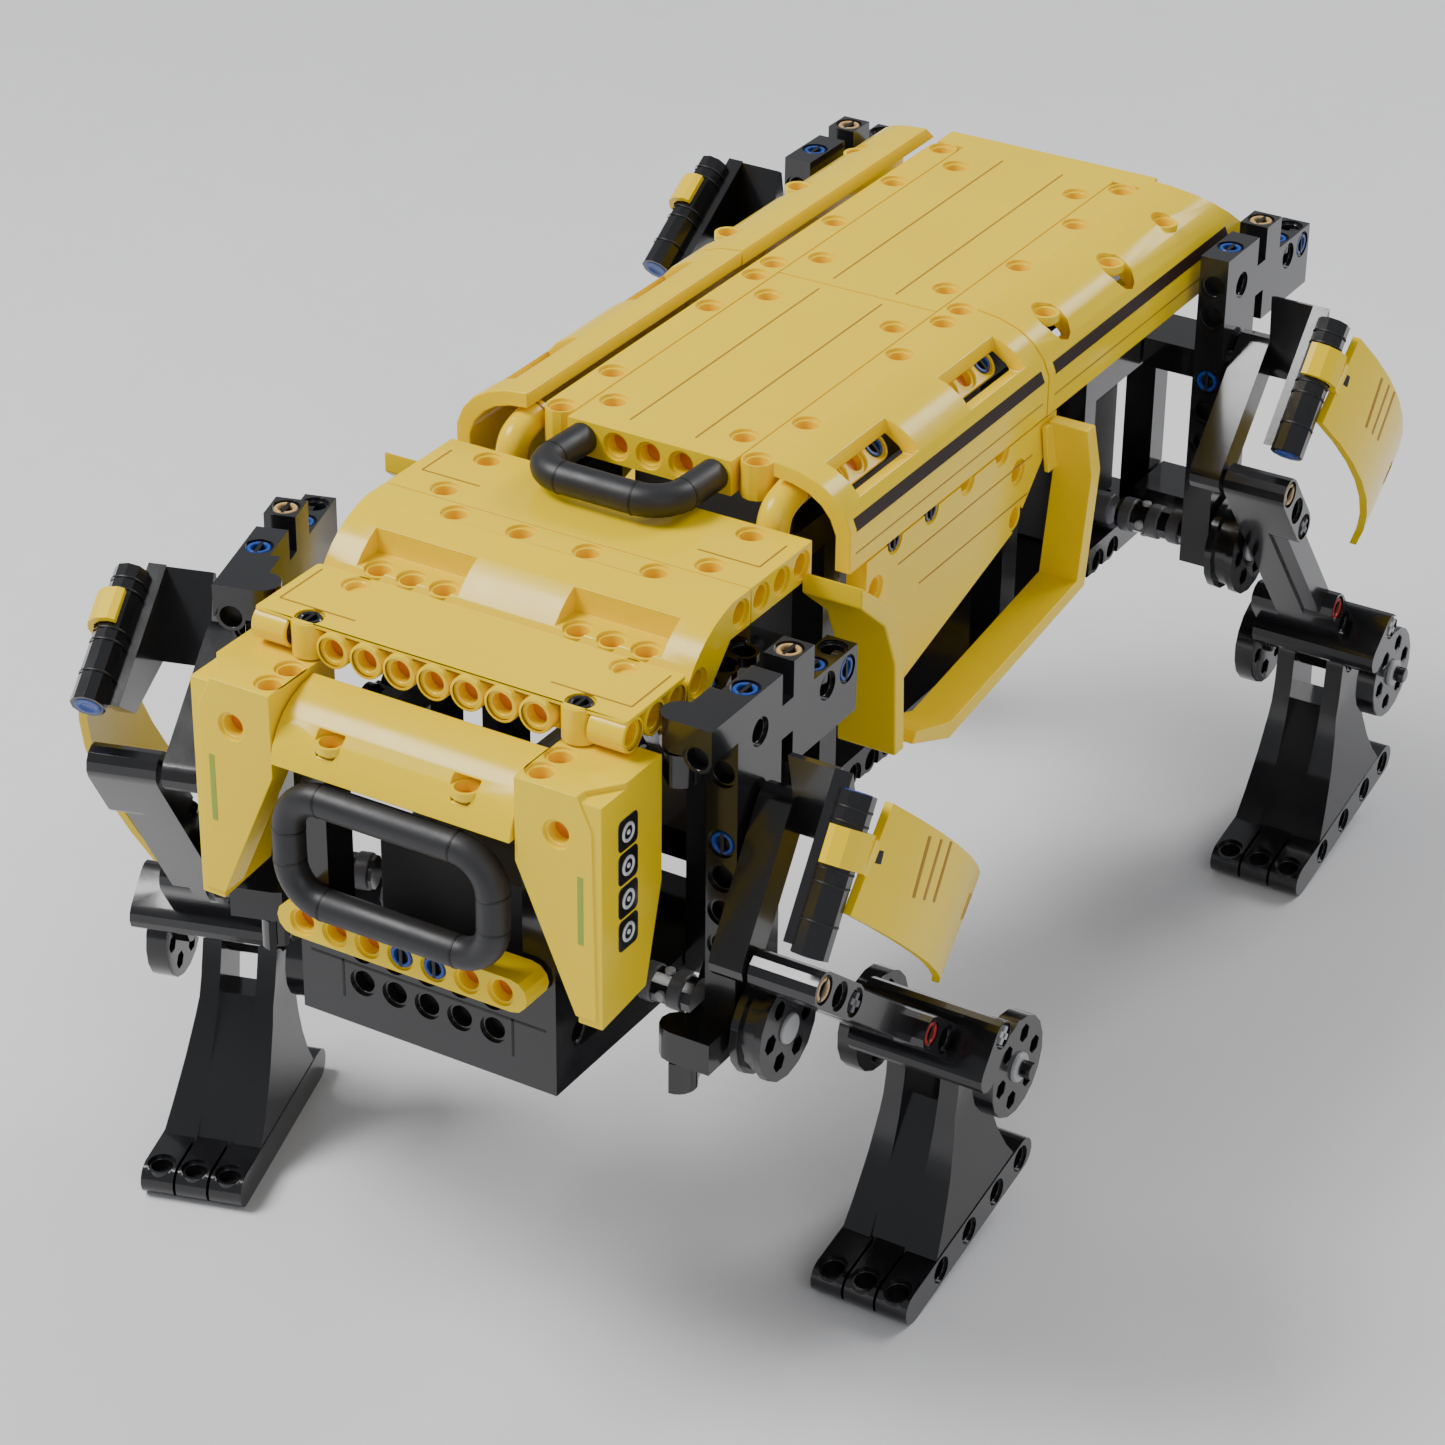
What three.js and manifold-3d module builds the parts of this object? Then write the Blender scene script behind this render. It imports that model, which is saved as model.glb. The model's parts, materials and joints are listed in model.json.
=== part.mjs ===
// Quadruped robot dog built from brick-beam plates, liftarms, hoses and pins.
// Millimetres, +Z up, head towards -Y, origin under the middle of the bounding box.
import * as THREE from 'three';
import { mergeVertices } from 'three/addons/utils/BufferGeometryUtils.js';
import Module from 'manifold-3d';

const wasm = await Module();
wasm.setup();

// ---- driving dimensions -------------------------------------------------
const M = 8;                       // one module of the beam system, in millimetres
const GAP = 0.05;                  // clearance between touching pieces, in modules
const HALF_HEAD = 5.5;             // half width of the head and neck plates
const HALF_BACK = 2.5;             // half width of the two back panels
const BACK_FRONT = 9.5;            // front edge of the back, behind the first hole row
const BACK_SPLIT = 20.5;           // seam between the two back panels
const BACK_REAR = 31.5;            // rear edge of the back
const BACK_TOP = 2;                // back plates stand this much above the head plate
const SHELL_HALF = 6.05;           // outer half width of the side shells
const CHASSIS_HALF = 3.9;          // half width of the black chassis box

const REAR_SHIFT = 27.4;           // rear hips behind the front hips
const REAR_RAISE = 1.5;            // rear hips above the front hips
const KINGPIN = [6.2, 1.0];        // upright steering pivot of a front hip (x, y)
const ROCKER_PIVOT = [2.9, -3.1];  // upper leg pivot of a front hip (y, z)
const CRANK_AXIS = [2.7, -9.45];   // crank disc axis of a front hip (y, z)
const ROCKER_LENGTH = 4;
const THIGH_LENGTH = 11.25;
const KNEE_BACK = 5.2;             // knee axis behind the tip of the toe, along the sole
const KNEE_RISE = 5.7;             // knee axis above the sole
const SOLE_LENGTH = 7.3;

// Pose of each leg at rest: angles in degrees, measured from straight back, up positive.
const LEGS = [
  { tag: 'front_right', side: 1, rear: false, yaw: 0, rocker: -123, thigh: -38.7, foot: 11.3 },
  { tag: 'front_left', side: -1, rear: false, yaw: 17, rocker: -150, thigh: -54.9, foot: 0 },
  { tag: 'rear_right', side: 1, rear: true, yaw: 0, rocker: -132, thigh: -51.9, foot: 12.1 },
  { tag: 'rear_left', side: -1, rear: true, yaw: 0, rocker: -147, thigh: -62.6, foot: 7 },
];

// ---- finishes -----------------------------------------------------------
function finish(color, roughness) {
  return new THREE.MeshStandardMaterial({ color, roughness, metalness: 0 });
}
const yellow = () => finish('#f2c20f', 0.28);
const black = () => finish('#131314', 0.22);
const rubber = () => finish('#1b1b1d', 0.6);
const grey = () => finish('#5d6065', 0.4);

// ---- solids -------------------------------------------------------------
function solid(geometry) {
  const bare = geometry.index ? geometry.clone() : geometry;
  bare.deleteAttribute('normal');
  bare.deleteAttribute('uv');
  const merged = mergeVertices(bare, 1e-4);
  return new wasm.Manifold(new wasm.Mesh({
    numProp: 3,
    vertProperties: new Float32Array(merged.attributes.position.array),
    triVerts: new Uint32Array(merged.index.array),
  }));
}

function join(...pieces) {
  return pieces.reduce((whole, piece) => whole.add(piece));
}

function cut(body, ...tools) {
  return tools.reduce((rest, tool) => rest.subtract(tool), body);
}

// Flat outlines are pushed out along X, Y or Z. Sizes are in modules.
const ACROSS = {
  x: new THREE.Matrix4().makeBasis(
    new THREE.Vector3(0, 1, 0), new THREE.Vector3(0, 0, 1), new THREE.Vector3(1, 0, 0)),
  y: new THREE.Matrix4().makeBasis(
    new THREE.Vector3(0, 0, 1), new THREE.Vector3(1, 0, 0), new THREE.Vector3(0, 1, 0)),
  z: new THREE.Matrix4(),
};

function extrude(shape, axis, from, to, curveSegments = 4) {
  const geometry = new THREE.ExtrudeGeometry(shape, {
    depth: to - from, bevelEnabled: false, curveSegments,
  });
  geometry.translate(0, 0, from);
  geometry.applyMatrix4(ACROSS[axis]);
  return solid(geometry);
}

// Outline points are (y, z) for axis x, (z, x) for axis y and (x, y) for axis z.
function polygon(points) {
  return new THREE.Shape(points.map(([a, b]) => new THREE.Vector2(a, b)));
}

function box(x0, x1, y0, y1, z0, z1) {
  const geometry = new THREE.BoxGeometry(x1 - x0, y1 - y0, z1 - z0);
  geometry.translate((x0 + x1) / 2, (y0 + y1) / 2, (z0 + z1) / 2);
  return solid(geometry);
}

function disc(axis, a, b, radius, from, to, sides = 16) {
  const circle = new THREE.Shape();
  circle.absarc(a, b, radius, 0, 2 * Math.PI, false);
  return extrude(circle, axis, from, to, sides);
}

function circlePath(a, b, radius) {
  const hole = new THREE.Path();
  hole.absarc(a, b, radius, 0, 2 * Math.PI, true);
  return hole;
}

// A liftarm lying in the leg plane: round ended bar with pin holes one module apart.
function stadium(length, half = 0.48) {
  const shape = new THREE.Shape();
  shape.absarc(0, 0, half, Math.PI / 2, 3 * Math.PI / 2, false);
  shape.absarc(length, 0, half, -Math.PI / 2, Math.PI / 2, false);
  shape.closePath();
  return shape;
}

function liftarm(length, x0, x1, holes = []) {
  const shape = stadium(length);
  holes.forEach((at) => shape.holes.push(circlePath(at, 0, 0.3)));
  return extrude(shape, 'x', x0, x1, 3);
}

function turned(body, degrees, y = 0, z = 0) {
  return body.rotate([degrees, 0, 0]).translate([0, y, z]);
}

// ---- meshes -------------------------------------------------------------
const dog = new THREE.Group();

function geometryOf(body, flip) {
  const raw = body.getMesh();
  const points = new Float32Array(raw.vertProperties);
  const faces = new Uint32Array(raw.triVerts);
  if (flip) {
    for (let i = 0; i < points.length; i += 3) points[i] = -points[i];
    for (let i = 0; i < faces.length; i += 3) [faces[i + 1], faces[i + 2]] = [faces[i + 2], faces[i + 1]];
  }
  const geometry = new THREE.BufferGeometry();
  geometry.setAttribute('position', new THREE.BufferAttribute(points, 3));
  geometry.setIndex(new THREE.BufferAttribute(faces, 1));
  geometry.scale(M, M, M);
  geometry.computeVertexNormals();
  return geometry;
}

function addPiece(parent, name, body, material, flip = false) {
  const mesh = new THREE.Mesh(geometryOf(body, flip), material);
  mesh.name = name;
  parent.add(mesh);
}

// A piece of the right flank and its mirror image on the left.
function addPair(name, body, material) {
  addPiece(dog, `${name}_right`, body, material());
  addPiece(dog, `${name}_left`, body, material(), true);
}

// ---- head and neck ------------------------------------------------------
function headTopPlate() {
  const outline = polygon([[-0.5, -0.2], [-0.5, -0.8], [-0.3, -1], [2.45, -1], [2.45, 0], [-0.3, 0]]);
  const plate = extrude(outline, 'x', -HALF_HEAD, HALF_HEAD);
  const bores = [-3, -2, -1, 0, 1, 2, 3].map((x) => disc('y', -0.5, x, 0.3, -0.6, 0.3, 3));
  return cut(plate, ...bores);
}

function neckCurvedPanel() {
  const outline = new THREE.Shape();
  outline.moveTo(2.5, -1);
  outline.lineTo(3.5, -1);
  outline.lineTo(4.5, 0);
  outline.lineTo(5.45, 0);
  outline.lineTo(5.45, 1);
  outline.lineTo(4.6, 1);
  outline.quadraticCurveTo(3.2, 0.75, 2.5, -0.35);
  outline.closePath();
  const panel = extrude(outline, 'x', -HALF_HEAD, HALF_HEAD, 6);
  return cut(panel, box(1.45, 4.55, 2.4, 3.7, 0.02, 2), box(-4.55, -1.45, 2.4, 3.7, 0.02, 2));
}

function neckPlate() {
  return box(-HALF_HEAD, HALF_HEAD, 5.5, 8.5, 0, 1);
}

function facePanel() {
  const outline = new THREE.Shape();
  outline.moveTo(-0.55, -1.2);
  outline.quadraticCurveTo(-2.2, -1.35, -2.5, -2.88);
  outline.lineTo(-2.1, -2.88);
  outline.lineTo(-1.5, -2.6);
  outline.lineTo(-0.55, -2.2);
  outline.closePath();
  return extrude(outline, 'x', -3.55, 3.55, 6);
}

function cheek() {
  const shell = extrude(polygon([
    [-1.05, 3.6], [-1.05, 5.4], [-1.9, 5.8], [-7.3, 5.9], [-7.3, 5.3], [-3.4, 3.6],
  ]), 'y', -2.35, -1.55);
  const side = extrude(polygon([
    [-2.3, -1.2], [-2.3, -7.5], [-0.3, -7.3], [0.42, -4.6], [0.42, -1.2],
  ]), 'x', 5.35, 6.05);
  const corners = [[3.6, 0.42], [3.6, -2.3], [5.2, -2.3], [6.05, -1.2], [6.05, 0.42]];
  const top = extrude(polygon(corners), 'z', -1.9, -1.05);
  return join(shell, side, top);
}

function faceRing() {
  const halfWide = 3.05;
  const low = -6.5;
  const high = -3.4;
  const bend = 1.15;
  const tube = 0.45;
  const ring = roundedRectangle(low - tube, high + tube, halfWide + tube, bend + tube);
  ring.holes.push(roundedRectangle(low + tube, high - tube, halfWide - tube, bend - tube));
  return extrude(ring, 'y', -2.95, -2.1, 4);
}

function roundedRectangle(low, high, half, radius) {
  const shape = new THREE.Shape();
  shape.absarc(high - radius, half - radius, radius, 0, Math.PI / 2, false);
  shape.absarc(low + radius, half - radius, radius, Math.PI / 2, Math.PI, false);
  shape.absarc(low + radius, radius - half, radius, Math.PI, 1.5 * Math.PI, false);
  shape.absarc(high - radius, radius - half, radius, 1.5 * Math.PI, 2 * Math.PI, false);
  shape.closePath();
  return shape;
}

function chinBeam() {
  const bar = new THREE.Shape();
  bar.absarc(-7.5, 3.3, 0.48, 0, Math.PI, false);
  bar.absarc(-7.5, -3.3, 0.48, Math.PI, 2 * Math.PI, false);
  bar.closePath();
  [-3, -2, -1, 0, 1, 2, 3].forEach((x) => bar.holes.push(circlePath(-7.5, x, 0.3)));
  return extrude(bar, 'y', -2.2, -1.2, 3);
}

// A hose along a smooth route, as a round bar.
function hose(points, radius, sides, steps) {
  const route = new THREE.CatmullRomCurve3(points.map((p) => new THREE.Vector3(...p)));
  const section = new THREE.Shape();
  section.absarc(0, 0, radius, 0, 2 * Math.PI, false);
  return solid(new THREE.ExtrudeGeometry(section, {
    steps, extrudePath: route, curveSegments: sides / 2,
  }));
}

function carryHandle() {
  return hose([
    [-2, 9.45, 1.5], [-2, 8.6, 1.55], [-1.85, 7.7, 1.6], [-1.2, 7.2, 1.62], [0, 7.1, 1.62],
    [1.2, 7.2, 1.62], [1.85, 7.7, 1.6], [2, 8.6, 1.55], [2, 9.45, 1.5],
  ], 0.45, 8, 22);
}

function shoulderHose() {
  return hose([[4, 10.4, 1.35], [4, 9.9, 1.32], [4, 9.3, 1.1], [4, 9.05, 0.6], [4, 9.05, 0]], 0.45, 8, 10);
}

// ---- back and flanks ----------------------------------------------------
function backPanel(from, to) {
  return box(-HALF_BACK, HALF_BACK, from, to, BACK_TOP - 1, BACK_TOP);
}

function backStrip() {
  const bar = new THREE.Shape();
  bar.absarc(3, BACK_FRONT + 0.5, 0.45, Math.PI, 2 * Math.PI, false);
  bar.absarc(3, BACK_REAR - 0.5, 0.45, 0, Math.PI, false);
  bar.closePath();
  return extrude(bar, 'z', BACK_TOP - 1, BACK_TOP, 3);
}

// Quarter round shell: rises from the flank and rolls over towards the back strip.
function shellOutline() {
  const wall = 0.45;
  const shape = new THREE.Shape();
  shape.moveTo(-0.3, SHELL_HALF);
  shape.lineTo(0.9, SHELL_HALF);
  shape.quadraticCurveTo(2.25, 5.7, 2.35, 3.75);
  shape.lineTo(2.35 - wall, 3.75);
  shape.quadraticCurveTo(1.85, 5.3, 0.7, SHELL_HALF - wall);
  shape.lineTo(-0.3, SHELL_HALF - wall);
  shape.closePath();
  return shape;
}

function sideShellFront() {
  const shell = extrude(shellOutline(), 'y', BACK_FRONT, BACK_SPLIT, 5);
  const windows = [12, 18].map((y) => box(4.75, 5.75, y - 1.55, y + 1.55, 1.3, 3));
  return cut(shell, ...windows);
}

function sideShellRear() {
  const shell = extrude(shellOutline(), 'y', BACK_SPLIT + GAP, 33.4, 5);
  const tail = extrude(polygon([[30.6, 3], [34, 3], [34, -1], [33.4, 0.6]]), 'x', 3, 7);
  const scallops = [22, 26].map((y) => disc('z', 5.3, y, 0.55, 1.2, 3, 6));
  return cut(shell, tail, ...scallops);
}

function sidePanel() {
  const outline = polygon([
    [10.5, -0.4], [10.5, -5.1], [11.9, -5.1], [18.8, -3.2], [21.2, -0.9], [21.2, -0.4],
  ]);
  return extrude(outline, 'x', 5.4, 6.0);
}

// Belly arch: a mudguard turned upside down, hanging under the flank.
function bellyArch() {
  const outer = [[21.0, -0.45], [21.5, -2.0], [20.9, -5.4], [13.0, -6.45], [10.9, -5.6]];
  const inner = [[11.1, -5.3], [13.1, -6.0], [20.4, -5.05], [20.95, -2.0], [20.5, -0.45]];
  const rim = extrude(polygon([...outer, ...inner]), 'x', 6.1, 7.3);
  const web = extrude(polygon([[21.0, -0.5], [21.4, -2], [20.5, -2], [20.2, -0.5]]), 'x', 5.9, 6.2);
  return join(rim, cut(web, box(5, 6.05, 10.4, 22, -6, 0)));
}

function hipFender() {
  const outer = [[7.9, 0.4], [9.6, -0.9], [10.3, -2.6], [10.45, -5.5]];
  const inner = [[9.95, -5.5], [9.8, -2.7], [9.2, -1.3], [7.9, -0.2]];
  return extrude(polygon([...outer, ...inner]), 'x', HALF_HEAD + GAP, 7.3);
}

function tailPanel() {
  const bar = box(-3.45, 3.45, BACK_REAR + GAP, 32.5, 0.9, 1.95);
  const drop = box(-3.4, 3.4, 31.9, 32.5, -2.5, 1);
  const beam = box(-5.3, 5.3, 32.45, 33.4, -0.9, 0.1);
  return join(bar, drop, beam);
}

// ---- chassis and drive --------------------------------------------------
function chassisFrame() {
  const inner = CHASSIS_HALF - 0.95;
  const wall = (y0, y1, z0, z1) => join(
    box(inner, CHASSIS_HALF, y0, y1, z0, z1),
    box(-CHASSIS_HALF, -inner, y0, y1, z0, z1),
  );
  const frontFloor = box(-CHASSIS_HALF, CHASSIS_HALF, -1.1, 8.2, -10.95, -10.05);
  const rearFloor = box(-CHASSIS_HALF, CHASSIS_HALF, 8.1, 33.2, -9.45, -8.55);
  const nose = box(-CHASSIS_HALF, CHASSIS_HALF, -1.1, -0.2, -10.1, -8.1);
  const posts = join(
    wall(-1.1, 0, -10.1, -3.05), wall(7.3, 8.2, -10.1, -0.15), wall(12, 12.9, -8.6, 0.5),
    wall(22.5, 23.4, -8.6, 0.5), wall(27.5, 28.2, -8.6, 0.9), wall(32.3, 33.2, -8.6, -2.6),
  );
  const rails = join(
    wall(-1.1, 8.2, -3.95, -3.05), wall(7.3, 12.5, -1.1, -0.15), wall(12, 31.4, 0, 0.9),
    wall(27.5, 33.2, -3.5, -2.6),
  );
  return join(frontFloor, rearFloor, nose, posts, rails);
}

// Plate across the front with ears that hold the upright steering pivots of the
// front hips from above, and matching ears on struts that hold them from below.
function earOutline(innerX) {
  const [pinX, pinY] = KINGPIN;
  const ear = new THREE.Shape();
  ear.moveTo(innerX, pinY - 0.5);
  ear.absarc(pinX, pinY, 0.5, -Math.PI / 2, Math.PI / 4, false);
  ear.lineTo(4.8, pinY + 5.5);
  ear.lineTo(innerX, pinY + 5.5);
  ear.closePath();
  return ear;
}

function frontHipBeams() {
  const [pinX, pinY] = KINGPIN;
  const outside = CHASSIS_HALF + GAP;
  const upper = extrude(earOutline(-0.1), 'z', -1.98, -1.08, 4);
  const lower = extrude(earOutline(outside), 'z', -10.95, -10.05, 4);
  const strut = box(outside, outside + 0.7, pinY + 4, pinY + 5.5, -10.5, -1.5);
  const bore = disc('z', pinX, pinY, 0.3, -12, 0, 5);
  const right = cut(join(upper, lower, strut), bore);
  return join(right, right.mirror([1, 0, 0]));
}

function gearbox(y, z) {
  const casing = box(-2.6, 2.6, y - 2, y + 2.4, z - 0.55, z + 3);
  const bosses = disc('x', y, z, 0.5, -3.8, 3.8, 5);
  return cut(join(casing, bosses), disc('y', z + 2, 0, 0.5, y + 1.6, y + 3, 5));
}

function driveShaft() {
  const z = CRANK_AXIS[1] + 2.75;
  return join(
    disc('y', z, 0, 0.25, 5.4, 27.5, 4),
    disc('y', z, 0, 1.1, 15.2, 15.9, 5),
    disc('y', z, 0, 0.42, 16.2, 17.2, 5),
  );
}

function batteryBox() {
  const shell = box(-2.7, 2.7, 13.1, 26.2, -4.9, -0.2);
  return join(shell, box(-2.2, 2.2, 13.3, 26, -0.25, 0.7));
}

// ---- hips ---------------------------------------------------------------
const COLUMN = [6.5, 7.38];        // thickness of the hip column across the body

// A front hip turns on two upright pins; a rear hip is bolted to the chassis by two arms.
function steeringPins() {
  const [pinX, pinY] = KINGPIN;
  const jaw = (z0, z1) => join(
    disc('z', pinX, pinY, 0.5, z0, z1, 6), box(pinX, COLUMN[1], pinY - 0.5, 2.4, z0, z1),
  );
  const pin = (z0, z1) => disc('z', pinX, pinY, 0.24, z0, z1, 4);
  return join(jaw(-1, -0.1), jaw(-10, -9.1), pin(-1.98, -0.5), pin(-10.95, -9.5));
}

function chassisArms() {
  const arm = (z0, z1) => box(CHASSIS_HALF + GAP, COLUMN[1], 3.8, 5.8, z0, z1);
  return join(arm(-5, -4.1), arm(-9.95, -9.05));
}

function hipBracket(holder) {
  const [inner, outer] = COLUMN;
  const column = box(inner, outer, 1.75, 3.85, -10, -0.1);
  const rearBeam = box(inner, outer, 2.4, 7.6, -1.95, -1);
  const rearBlock = box(inner, outer, 4.4, 7.6, -2.9, -1.9);
  const capBeam = box(inner, outer, 4.4, 5.4, -1.05, 0);
  const bores = join(
    disc('x', ...ROCKER_PIVOT, 0.3, inner - 1, outer + 1, 4),
    disc('x', ...CRANK_AXIS, 0.32, inner - 1, outer + 1, 4),
  );
  return cut(join(holder, column, rearBeam, rearBlock, capBeam), bores);
}

function crankDisc() {
  const [y, z] = CRANK_AXIS;
  const wheel = join(
    disc('x', y, z, 1.45, 7.5, 7.72, 8),
    disc('x', y, z, 1.3, 7.7, 8.2, 8),
    disc('x', y, z, 1.45, 8.18, 8.4, 8),
  );
  const holes = [0, 1, 2, 3, 4, 5].map((k) => {
    const angle = k * Math.PI / 3;
    return disc('x', y + 0.9 * Math.cos(angle), z + 0.9 * Math.sin(angle), 0.28, 7, 9, 3);
  });
  const axle = disc('x', y, z, 0.25, 4.6, 7.6, 4);
  const yoke = disc('x', y, z, 0.48, 4.05, 6.2, 5);
  return join(cut(wheel, ...holes), axle, yoke);
}

// ---- legs (right side, each piece in the frame of its own pivot) ---------
function rocker() {
  const inner = liftarm(ROCKER_LENGTH, 7.5, 8.45, [ROCKER_LENGTH]);
  const pivot = disc('x', 0, 0, 0.24, 6.55, 7.6, 4);
  const web = polygon([[-1.2, -1.4], [0.6, 0.45], [0.1, 0.48], [-0.4, 0.3], [-0.9, -0.2], [-1.3, -1.2]]);
  const bridge = extrude(web, 'x', 8.4, 9.8);
  const plate = extrude(polygon([[-1.25, -1.4], [0.6, 0.45], [2.6, -0.2], [3.1, -1.4]]), 'x', 9.7, 10.2);
  const stack = disc('y', -1.45, 10.5, 0.48, -0.85, 3.25, 5);
  return join(inner, pivot, bridge, plate, stack);
}

// Curved guard that clips round the outer rod of the rocker. It is drawn in the
// frame of its clip: width along the rod, length straight back from it.
const GUARD_WIDE = 2.9;
const GUARD_LONG = 8.4;
const GUARD_NEAR = 11.1;           // distance out from the body at the clip
const GUARD_BULGE = 12.5;          // control point of the bulge
const GUARD_TIP = 10.6;            // distance out at the tip
const CLIP_AT = 0.5;

function legGuard() {
  const wall = 0.22;
  const face = new THREE.Shape();
  face.moveTo(0.55, GUARD_NEAR);
  face.quadraticCurveTo(GUARD_LONG / 2, GUARD_BULGE, GUARD_LONG, GUARD_TIP);
  face.lineTo(GUARD_LONG, GUARD_TIP - wall);
  face.quadraticCurveTo(GUARD_LONG / 2, GUARD_BULGE - 1.2 * wall, 0.55, GUARD_NEAR - wall);
  face.closePath();
  const sheet = extrude(face, 'y', -GUARD_WIDE / 2, GUARD_WIDE / 2, 7);
  const loop = cut(disc('y', 0, 10.5, 0.7, -0.48, 0.48, 6), disc('y', 0, 10.5, 0.53, -1, 1, 6));
  const clip = cut(loop, box(9, 10.3, -1, 1, -1, 1));
  const tab = box(10.92, 11.14, -0.45, 0.45, 0.3, 0.8);
  return join(turned(join(sheet, tab), -10), clip).translate([0, CLIP_AT, -1.45]);
}

function thigh() {
  const main = liftarm(THIGH_LENGTH, 8.6, 9.55, [THIGH_LENGTH]);
  const pivot = disc('x', 0, 0, 0.24, 7.4, 8.7, 4);
  const upper = liftarm(2, 9.5, 10.5);
  const lower = liftarm(2, 9.5, 10.5).translate([0, 7.4, 0]);
  const core = box(9.5, 10.1, 1.5, 8, -0.4, 0.4);
  const inside = liftarm(1.8, 7.7, 8.65).translate([0, 8, 0]);
  const cross = extrude(stadium(1.1, 0.45), 'x', 7.7, 11.7, 3);
  const block = turned(cross.translate([0, -0.55, 0]), 90, 9.15, 0);
  return join(main, pivot, upper, lower, core, inside, block);
}

// The lower leg hangs from the knee axis. The sole lies along Y, toe forward.
const SHIN_LAYERS = [7.68, 10.62]; // width of the foot, inner to outer face
const FORK_OUTER = [7.98, 10.17];  // outer faces of the fork at the knee
const FORK_INNER = [8.54, 9.61];   // inner faces of the fork at the knee

function foot() {
  const [inner, outer] = SHIN_LAYERS;
  const toe = -KNEE_BACK + 0.5;
  const soleBar = extrude(stadium(SOLE_LENGTH - 1, 0.48), 'x', inner, outer, 4);
  const sole = soleBar.translate([0, toe, -KNEE_RISE + 0.48]);
  const slots = [8.66, 9.64].map((x) => box(x - 0.04, x + 0.04, -6, -3.2, -6, -4));
  return cut(sole, ...slots);
}

function shin() {
  const [inner, outer] = SHIN_LAYERS;
  const side = new THREE.Shape();
  side.absarc(0, 0, 0.62, -0.2 * Math.PI, 0.95 * Math.PI, false);
  side.quadraticCurveTo(-1.2, -2.6, -3.5, -4.9);
  side.lineTo(1.2, -4.9);
  side.quadraticCurveTo(0.2, -3.2, 0.75, -0.9);
  side.closePath();
  side.holes.push(circlePath(0, 0, 0.3));
  const [innerFork, outerFork] = FORK_OUTER;
  const blades = join(
    extrude(side, 'x', inner, FORK_INNER[0], 5), extrude(side, 'x', FORK_INNER[1], outer, 5),
  );
  const web = extrude(polygon([[-0.75, -1.5], [0.1, -1.5], [-1.6, -4.9], [-3.4, -4.9]]), 'x', inner, outer);
  const taper = extrude(polygon([
    [0.7, innerFork], [-1.5, innerFork], [-4.95, inner],
    [-4.95, outer], [-1.5, outerFork], [0.7, outerFork],
  ]), 'y', -6, 3);
  return join(blades, web).intersect(taper);
}

function kneeAxle() {
  const wheel = (x0, x1) => {
    const holes = [0, 1, 2, 3, 4, 5].map((k) => {
      const angle = k * Math.PI / 3;
      return disc('x', 0.95 * Math.cos(angle), 0.95 * Math.sin(angle), 0.27, x0 - 1, x1 + 1, 3);
    });
    return cut(disc('x', 0, 0, 1.45, x0, x1, 9), ...holes);
  };
  const axle = disc('x', 0, 0, 0.24, 6.7, 12.0, 4);
  const collars = join(disc('x', 0, 0, 0.42, 7.3, 7.6, 4), disc('x', 0, 0, 0.42, 10.7, 11.1, 4));
  return join(wheel(6.85, 7.45), wheel(10.95, 11.55), axle, collars);
}

// ---- assembly -----------------------------------------------------------
addPiece(dog, 'head_top_plate', headTopPlate(), yellow());
addPiece(dog, 'neck_curved_panel', neckCurvedPanel(), yellow());
addPiece(dog, 'neck_plate', neckPlate(), yellow());
addPiece(dog, 'face_panel', facePanel(), yellow());
addPair('cheek', cheek(), yellow);
addPiece(dog, 'face_ring', faceRing(), rubber());
addPiece(dog, 'chin_beam', chinBeam(), yellow());
addPiece(dog, 'carry_handle', carryHandle(), rubber());
addPair('shoulder_hose', shoulderHose(), yellow);
addPiece(dog, 'back_panel_front', backPanel(BACK_FRONT, BACK_SPLIT - GAP), yellow());
addPiece(dog, 'back_panel_rear', backPanel(BACK_SPLIT, BACK_REAR), yellow());
addPair('back_strip', backStrip(), yellow);
addPair('side_shell_front', sideShellFront(), yellow);
addPair('side_shell_rear', sideShellRear(), yellow);
addPair('side_panel', sidePanel(), yellow);
addPair('belly_arch', bellyArch(), yellow);
addPair('hip_fender', hipFender(), yellow);
addPiece(dog, 'tail_panel', tailPanel(), yellow());
addPiece(dog, 'chassis_frame', chassisFrame(), black());
addPiece(dog, 'front_hip_beams', frontHipBeams(), black());
addPiece(dog, 'front_gearbox', gearbox(...CRANK_AXIS), grey());
addPiece(dog, 'rear_gearbox', gearbox(CRANK_AXIS[0] + REAR_SHIFT, CRANK_AXIS[1] + REAR_RAISE), grey());
addPiece(dog, 'drive_shaft', driveShaft(), grey());
addPiece(dog, 'battery_box', batteryBox(), grey());

const legPieces = {
  frontBracket: hipBracket(steeringPins()), rearBracket: hipBracket(chassisArms()),
  crank: crankDisc(), rocker: rocker(), guard: legGuard(),
  thigh: thigh(), lowerLeg: join(shin(), foot()), axle: kneeAxle(),
};

function pivotGroup(parent, degrees, y, z) {
  const group = new THREE.Group();
  group.position.set(0, y * M, z * M);
  group.rotation.x = THREE.MathUtils.degToRad(degrees);
  parent.add(group);
  return group;
}

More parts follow.
